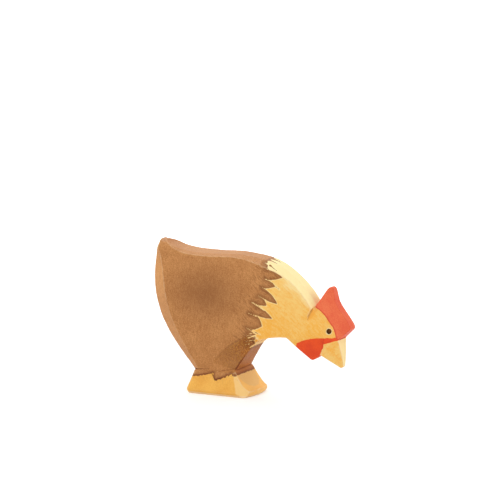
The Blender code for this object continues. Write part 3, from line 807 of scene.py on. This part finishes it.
def stained_brown(recipe, paint, place):
    """Brown stain of grain, clouds and specks, darker in a patch on the side, and on the chest
    facet, there partly as painted shade.
    """
    grain = recipe.clouds(recipe.drawn_out(place, (1, 1, 0.25)), 2.4)
    cloud = recipe.clouds(place, 0.22, 2.0)
    speck = recipe.clouds(place, 3.8, 2.0)
    tone = recipe.plus(recipe.times(grain, 0.25), recipe.times(cloud, 0.20))
    tone = recipe.plus(tone, recipe.times(speck, 0.55))
    shade = recipe.mix(recipe.ramp(tone, 0.36, 0.66), paint.brown_dense, paint.brown_thin)
    shade = recipe.mix(recipe.layer("dark_patch"), shade, paint.brown_dark)
    # The chest facet's darker brown: dense stain and painted shade
    chest = recipe.times(recipe.layer("chest"), recipe.layer("chest_near_neck"))
    return recipe.mix(chest, shade, paint.brown_dark)


def stain_on_cuts(recipe, paint, place, shade):
    """Lighter brown on the cut faces of rump and back, painted light on the back's upward faces,
    and the reddish stain on the chest's.
    """
    cut = recipe.layer("cut_face")
    height = recipe.along(place, "Z")
    rump = recipe.times(recipe.ramp(height, *RUMP_LIGHT, 0.0, RUMP_COVER), recipe.layer("rump"))
    off_tip = recipe.greater(
        recipe.ramp(height, *TAIL_ABOVE), recipe.ramp(recipe.along(place, "X"), *TAIL_BEHIND)
    )
    lighter = recipe.times(recipe.plus(rump, recipe.layer("back")), off_tip)
    shade = recipe.mix(recipe.times(cut, lighter), shade, paint.brown_edge)
    return recipe.mix(recipe.times(cut, recipe.layer("chest_front")), shade, paint.brown_rust)


def strokes_near_border(recipe, paint, place, shade):
    """Fine brush lines in the brown, which fade out away from the yellow."""
    lines = recipe.clouds(recipe.drawn_out(place, (0.16, 1, 1), BRUSH_ANGLE), 2.6, 2.0)
    near = recipe.layer("brush_lines")
    light = recipe.times(recipe.ramp(lines, 0.52, 0.68), near)
    shade = recipe.mix(light, shade, paint.brown_thin)
    dark = recipe.times(recipe.ramp(lines, 0.48, 0.34), near)
    shade = recipe.mix(dark, shade, paint.brown_dark)
    return recipe.mix(recipe.layer("feather_edge"), shade, paint.brown_dark)


def gold_flecks(recipe, paint, place, shade):
    """Small flecks of the yellow on the chest facet, thickest near the yellow's lower end."""
    fleck = recipe.ramp(recipe.clouds(place, 4.4, 2.0), 0.54, 0.64)
    near = recipe.layer("flecks_near_neck")
    share = recipe.times(recipe.times(fleck, recipe.layer("flecks")), near)
    return recipe.mix(share, shade, paint.yellow_dense)


def area_mask(recipe, name, place):
    """One inside a painted area and nothing outside, with a border that wanders like a brush's."""
    wander, per_mm = BORDERS[name]
    waver = recipe.combined("SUBTRACT", recipe.clouds(place, per_mm, 4.0, 0.6), 0.5)
    depth = recipe.plus(recipe.attribute(name), recipe.times(waver, wander))
    return recipe.ramp(depth, -BORDER_SOFTNESS, BORDER_SOFTNESS)


def washed(recipe, place, first, second, per_mm):
    """Paint that turns from the first colour to the second in soft clouds and in fine specks."""
    tone = recipe.blended(0.5, recipe.clouds(place, per_mm, 2.0), recipe.clouds(place, 3.0, 2.0))
    return recipe.mix(recipe.ramp(tone, 0.34, 0.66), first, second)


def straw_yellow(recipe, paint, place):
    """Brushed yellow: denser on the head, with painted shade below and painted light upwards, and a
    painted highlight on the neck's top.
    """
    grain = recipe.clouds(recipe.drawn_out(place, (0.3, 1, 1), BRUSH_ANGLE), 1.6)
    tone = recipe.blended(0.4, recipe.clouds(place, 2.8, 2.0), grain)
    across = recipe.node(
        "ShaderNodeVectorMath", {0: place, 1: NECK_ACROSS}, operation="DOT_PRODUCT"
    )
    # Painted shade towards the neck's underside, painted light towards its top
    height = recipe.ramp(across.outputs["Value"], NECK_UNDER, NECK_UPPER, -0.10, 0.12)
    on_head = recipe.ramp(recipe.along(place, "X"), *HEAD_START, 0.0, -0.14)
    tone = recipe.plus(tone, recipe.plus(height, on_head))
    shade = recipe.mix(recipe.ramp(tone, 0.28, 0.77), paint.yellow_dense, paint.yellow_thin)
    streaks = recipe.clouds(recipe.drawn_out(place, (0.12, 1, 1), BRUSH_ANGLE), 1.3, 2.0)
    ends = recipe.times(recipe.combined("SUBTRACT", streaks, 0.5), STREAK_RANGE)
    highlight_band = recipe.ramp(recipe.plus(recipe.attribute("highlight_band"), ends), *BAND_EDGE, 0.0, STREAK_COVER)
    # Painted highlight on the neck's upper side and along its band, and the yellow's pale rim
    for pale in (recipe.layer("lit_upper_side"), highlight_band, recipe.layer("yellow_rim")):
        shade = recipe.mix(pale, shade, paint.yellow_pale_and_highlight)
    return shade


def around_stop_cut_and_eye(recipe, paint, shade):
    """Deep yellow in front of the stop cut, a dark line in it of gathered paint and painted shade,
    and a pale ring round the eye.
    """
    shade = recipe.mix(recipe.layer("stop_facet"), shade, paint.yellow_deep)
    shade = recipe.mix(recipe.layer("stop_cut"), shade, paint.stop_brown)
    return recipe.mix(recipe.layer("eye_ring"), shade, paint.yellow_pale_and_highlight)


def amber_beak(recipe, paint, place):
    """Amber, with painted light on the beak's front."""
    amber = washed(recipe, place, paint.beak, paint.yellow_thin, 0.4)
    return recipe.mix(recipe.layer("beak_front_highlight"), amber, paint.beak_lit_front)


def red_comb(recipe, paint, place):
    """Red that is deeper along the comb's painted border, and on its front as painted shade."""
    red = washed(recipe, place, paint.comb_red, paint.comb_dense, 0.25)
    deeper = recipe.greater(recipe.layer("comb_border"), recipe.layer("comb_front_shade"))
    return recipe.mix(deeper, red, paint.comb_rim)


def ochre_foot(recipe, paint, place):
    """Ochre, paler on the front and the cut corners, splashed with stain, and pale at the bottom:
    worn wood with painted light from the floor.
    """
    ochre = washed(recipe, place, paint.ochre, paint.ochre_deep, 0.25)
    ochre = recipe.mix(recipe.layer("foot_corner"), ochre, paint.ochre_pale)
    ochre = recipe.mix(recipe.layer("foot_front"), ochre, paint.ochre_pale)
    ochre = recipe.mix(recipe.layer("foot_scoop"), ochre, paint.ochre_tan)
    splash = recipe.ramp(recipe.clouds(place, 3.6, 2.0), 0.54, 0.64)
    splash = recipe.times(splash, recipe.layer("splashes"))
    ochre = recipe.mix(splash, ochre, paint.brown_thin)
    # Worn wood with painted light from the floor on the foot's bottom
    bottom = recipe.ramp(recipe.along(place, "Z"), *FOOT_BOTTOM, 0.0, BOTTOM_COVER)
    return recipe.mix(bottom, ochre, paint.bare_wood_and_highlight)


def worn_edges_and_crease_shade(recipe, paint, place, shade, red):
    """Wood that shows in patches on worn edges, with a painted highlight, though not where the
    paint is red, and painted shade in the creases.
    """
    patchy = recipe.ramp(recipe.clouds(place, 0.9, 3.0), 0.38, 0.62, 0.35, 1.0)
    patchy = recipe.times(patchy, recipe.combined("SUBTRACT", 1.0, red))
    patchy = recipe.times(patchy, recipe.layer("off_chest"))
    worn_and_highlight = recipe.times(recipe.layer("worn_edge_and_highlight"), patchy)
    shade = recipe.mix(worn_and_highlight, shade, paint.bare_wood_and_highlight)
    # Painted shade in the creases
    crease_shade = recipe.times(recipe.layer("crease_shade"), recipe.layer("crease_shade_on_highlight_band"))
    return recipe.mix(crease_shade, shade, paint.brown_dark, "MULTIPLY")


def wood_relief(recipe, place):
    """Fine fibres and pores that show through the paint, a little glossier where they stand out."""
    fibre = recipe.clouds(recipe.drawn_out(place, (1, 1, 0.1)), 5.0, 4.0)
    relief = recipe.blended(0.6, fibre, recipe.clouds(place, 7.0, 2.0))
    bump = {"Height": relief, "Strength": 0.5, "Distance": 0.05 * MM}
    normal = recipe.node("ShaderNodeBump", bump).outputs["Normal"]
    recipe.feed(recipe.shader.inputs["Normal"], normal)
    recipe.feed(recipe.shader.inputs["Roughness"], recipe.ramp(relief, 0.3, 0.7, 0.58, 0.46))
    recipe.shader.inputs["Specular IOR Level"].default_value = 0.2


def painted_wood(paint):
    """All the hen's paint in one material, laid over the wood area by area."""
    recipe = Recipe("painted_wood")
    place = recipe.millimetres()
    brushed = recipe.drawn_out(place, (0.3, 1, 1), BRUSH_ANGLE)
    yellow = area_mask(recipe, "yellow", brushed)
    beak, wattle, comb, foot = (
        area_mask(recipe, name, place) for name in ("beak", "wattle", "comb", "foot")
    )

    shade = stained_brown(recipe, paint, place)
    shade = stain_on_cuts(recipe, paint, place, shade)
    shade = strokes_near_border(recipe, paint, place, shade)
    shade = gold_flecks(recipe, paint, place, shade)
    shade = recipe.mix(yellow, shade, straw_yellow(recipe, paint, place))
    shade = around_stop_cut_and_eye(recipe, paint, shade)
    shade = recipe.mix(beak, shade, amber_beak(recipe, paint, place))
    red = washed(recipe, place, paint.wattle_red, paint.wattle_dense, 0.3)
    shade = recipe.mix(wattle, shade, red)
    shade = recipe.mix(comb, shade, red_comb(recipe, paint, place))
    shade = recipe.mix(recipe.layer("above_foot"), shade, paint.brown_line)
    shade = recipe.mix(foot, shade, ochre_foot(recipe, paint, place))
    # Lines of painted shade in the creases
    shade = recipe.mix(recipe.layer("crease_shade_strokes"), shade, paint.brown_line)
    shade = worn_edges_and_crease_shade(recipe, paint, place, shade, recipe.greater(comb, wattle))

    recipe.feed(recipe.shader.inputs["Base Color"], shade)
    wood_relief(recipe, place)
    return recipe.material


def eye_enamel(paint):
    """Thick dark enamel, a little browner where it runs thin."""
    recipe = Recipe("eye_enamel")
    place = recipe.millimetres()
    shade = washed(recipe, place, paint.eye, paint.eye_thin, 1.1)
    recipe.feed(recipe.shader.inputs["Base Color"], shade)
    roughness = recipe.ramp(recipe.clouds(place, 3.0), 0.3, 0.7, 0.2, 0.3)
    recipe.feed(recipe.shader.inputs["Roughness"], roughness)
    recipe.shader.inputs["Specular IOR Level"].default_value = 0.1
    return recipe.material


class HEN_OT_carve(bpy.types.Operator):
    """Make the hen's knife-worked and painted surface over its solid"""

    bl_idname = "hen.carve"
    bl_label = "Carve and Paint"

    def execute(self, context):
        surface = context.scene.hen_surface
        hen = add_piece("carved_hen", merged_copy("hen_figure", "carved_hen"))
        fine_cells(hen, surface.fineness)
        even_out(hen.data, surface.evening)
        draw_tip(hen.data)
        lift_neck(hen.data)
        knife_work(hen.data, surface)
        store_for_paint(hen.data)
        hen.data.materials.clear()
        hen.data.materials.append(painted_wood(context.scene.hen_paint))
        hen.data.shade_smooth()
        hen.data.set_sharp_from_angle(angle=ARRIS_ANGLE)
        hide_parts("hen_figure")
        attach(hen, "root")
        return {"FINISHED"}


def eye_stand(node):
    """The middle of an eye's rim on the cheek, the way the eye faces, and its radius."""
    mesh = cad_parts[node].data
    side = 1 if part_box(node)[0].y > 0 else -1
    outward = Vector()
    for face in mesh.polygons:
        if face.normal.y * side > DOME_TURN:
            outward += face.normal * face.area
    outward.normalize()
    middle = (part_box(node)[0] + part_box(node)[1]) / 2
    places = [vert.co - middle for vert in mesh.vertices]
    heights = [place.dot(outward) for place in places]
    reaches = [(place - outward * height).length for place, height in zip(places, heights)]
    radius = max(reaches)
    on_rim = [height for height, reach in zip(heights, reaches) if reach > RIM_SHARE * radius]
    return middle + outward * (sum(on_rim) / len(on_rim)), outward, radius


def enamel_drop(node):
    """A domed drop of enamel, slightly out of round, turned from its profile."""
    centre, outward, radius = eye_stand(node)
    bm = bmesh.new()
    verts = [bm.verts.new((x * radius, 0, z * radius)) for x, z in DROP_PROFILE]
    edges = [bm.edges.new(pair) for pair in zip(verts, verts[1:])]
    bmesh.ops.spin(
        bm, geom=verts + edges, cent=(0, 0, 0), axis=(0, 0, 1), angle=math.tau,
        steps=DROP_STEPS, use_merge=True,
    )
    bmesh.ops.remove_doubles(bm, verts=bm.verts, dist=0.001 * MM)
    bmesh.ops.subdivide_edges(bm, edges=bm.edges, cuts=1, smooth=1.0, use_grid_fill=True)
    for vert in bm.verts:
        spot = Vector((vert.co.x, vert.co.y, 0)) / radius
        vert.co *= 1 + DROP_WANDER * noise.noise(spot + DROP_WANDER_START)
    bmesh.ops.recalc_face_normals(bm, faces=bm.faces)
    turn = outward.to_track_quat("Z", "Y").to_matrix().to_4x4()
    bmesh.ops.transform(bm, verts=bm.verts, matrix=Matrix.Translation(centre) @ turn)
    mesh = bpy.data.meshes.new(node + "_drop")
    bm.to_mesh(mesh)
    bm.free()
    return mesh


class HEN_OT_set_eyes(bpy.types.Operator):
    """Set a drop of enamel on each cheek for an eye"""

    bl_idname = "hen.set_eyes"
    bl_label = "Set Eyes"

    def execute(self, context):
        enamel = eye_enamel(context.scene.hen_paint)
        for node in EYES:
            drop = add_piece(node + "_drop", enamel_drop(node))
            drop.data.materials.append(enamel)
            drop.data.shade_smooth()
            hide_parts(node)
            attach(drop, "root")
        return {"FINISHED"}


def direction(azimuth, elevation):
    """Towards an azimuth, counted from the hen's right side round to its front, and elevation."""
    level = math.cos(elevation)
    return Vector((math.sin(azimuth) * level, -math.cos(azimuth) * level, math.sin(elevation)))


def add_lamp(name, azimuth, elevation, size, power):
    """A square lamp that shines on the hen's middle from an azimuth and elevation in degrees."""
    data = bpy.data.lights.new(name, "AREA")
    data.shape = "SQUARE"
    data.size = size
    data.energy = power
    lamp = add_piece(name, data)
    way = direction(math.radians(azimuth), math.radians(elevation))
    lamp.location = (CAD_BOX[0] + CAD_BOX[1]) / 2 + way * LAMP_DISTANCE
    lamp.rotation_euler = way.to_track_quat("Z", "Y").to_euler()


def add_camera(studio):
    azimuth, elevation = studio.azimuth, studio.elevation
    back = direction(azimuth, elevation)
    right = Vector((math.cos(azimuth), math.sin(azimuth), 0))
    data = bpy.data.cameras.new("camera")
    data.lens = data.sensor_width * studio.distance / studio.view_width
    data.clip_start = 0.01
    camera = add_piece("camera", data)
    aim = right * studio.aim_right + back.cross(right) * studio.aim_up
    camera.location = aim + back * studio.distance
    camera.rotation_euler = back.to_track_quat("Z", "Y").to_euler()
    bpy.context.scene.camera = camera


def seen_directly(tree):
    """One for rays that come from the camera, a reflection or clear material, else nothing."""
    rays = tree.nodes.new("ShaderNodeLightPath")
    total = rays.outputs["Is Camera Ray"]
    for name in ("Is Glossy Ray", "Is Transmission Ray"):
        joined = tree.nodes.new("ShaderNodeMath")
        joined.operation = "MAXIMUM"
        tree.links.new(total, joined.inputs[0])
        tree.links.new(rays.outputs[name], joined.inputs[1])
        total = joined.outputs[0]
    return total


def light_world(ambient):
    """An even light from all round, which looks pure white where it is seen."""
    world = bpy.data.worlds.new("studio")
    bpy.context.scene.world = world
    world.use_nodes = True
    tree = world.node_tree
    strength = tree.nodes.new("ShaderNodeMapRange")
    tree.links.new(seen_directly(tree), strength.inputs["Value"])
    strength.inputs["To Min"].default_value = ambient
    strength.inputs["To Max"].default_value = 1.0
    background = tree.nodes["Background"]
    background.inputs["Color"].default_value = (1, 1, 1, 1)
    tree.links.new(strength.outputs["Result"], background.inputs["Strength"])


def floor_material():
    """Matt white paper, lifted to pure white where it is seen, which keeps the hen's shadow."""
    recipe = Recipe("white_paper")
    inputs = recipe.shader.inputs
    inputs["Base Color"].default_value = (PAPER_WHITE, PAPER_WHITE, PAPER_WHITE, 1)
    inputs["Roughness"].default_value = 0.9
    inputs["Specular IOR Level"].default_value = 0.0
    inputs["Emission Color"].default_value = (1, 1, 1, 1)
    away = recipe.node("ShaderNodeVectorMath", {0: recipe.millimetres()}, operation="LENGTH")
    far = recipe.ramp(away.outputs["Value"], *LIFT_DISTANCE, *LIFT_STRENGTH)
    lift = recipe.times(seen_directly(recipe.tree), far)
    recipe.feed(inputs["Emission Strength"], lift)
    return recipe.material


def add_floor():
    bm = bmesh.new()
    bmesh.ops.create_grid(bm, x_segments=4, y_segments=4, size=FLOOR_REACH)
    mesh = bpy.data.meshes.new("floor")
    bm.to_mesh(mesh)
    bm.free()
    floor = add_piece("floor", mesh)
    floor.data.materials.append(floor_material())


class HEN_OT_build_studio(bpy.types.Operator):
    """Build the pale floor, the soft lights and the camera"""

    bl_idname = "hen.build_studio"
    bl_label = "Build Studio"

    def execute(self, context):
        studio = context.scene.hen_studio
        add_floor()
        for name, azimuth, elevation, share in EDGE_LAMPS:
            add_lamp(name, azimuth, elevation, EDGE_LAMP_SIZE, share * studio.edge_power)
        add_lamp(*FRONT_LAMP, FRONT_LAMP_SIZE, studio.front_power)
        light_world(studio.ambient)
        add_camera(studio)
        context.scene.view_settings.view_transform = "Standard"
        return {"FINISHED"}


class HEN_PT_workshop(bpy.types.Panel):
    """Lists the steps that make the hen"""

    bl_label = "Wooden Hen"
    bl_idname = "HEN_PT_workshop"
    bl_space_type = "VIEW_3D"
    bl_region_type = "UI"
    bl_category = "Hen"

    def draw(self, context):
        scene = context.scene
        for step, group in (
            (HEN_OT_carve, scene.hen_surface),
            (HEN_OT_set_eyes, scene.hen_paint),
            (HEN_OT_build_studio, scene.hen_studio),
        ):
            box = self.layout.box()
            box.operator(step.bl_idname)
            for key in group.bl_rna.properties.keys():
                if key not in ("rna_type", "name"):
                    box.prop(group, key)


CLASSES = (
    HenSurface,
    HenPaint,
    HenStudio,
    HEN_OT_carve,
    HEN_OT_set_eyes,
    HEN_OT_build_studio,
    HEN_PT_workshop,
)


def register():
    for item in CLASSES:
        bpy.utils.register_class(item)
    bpy.types.Scene.hen_surface = PointerProperty(type=HenSurface)
    bpy.types.Scene.hen_paint = PointerProperty(type=HenPaint)
    bpy.types.Scene.hen_studio = PointerProperty(type=HenStudio)


def unregister():
    del bpy.types.Scene.hen_surface
    del bpy.types.Scene.hen_paint
    del bpy.types.Scene.hen_studio
    for item in reversed(CLASSES):
        bpy.utils.unregister_class(item)


def main():
    register()
    bpy.ops.hen.carve()
    bpy.ops.hen.set_eyes()
    bpy.ops.hen.build_studio()


if __name__ == "__main__":
    main()
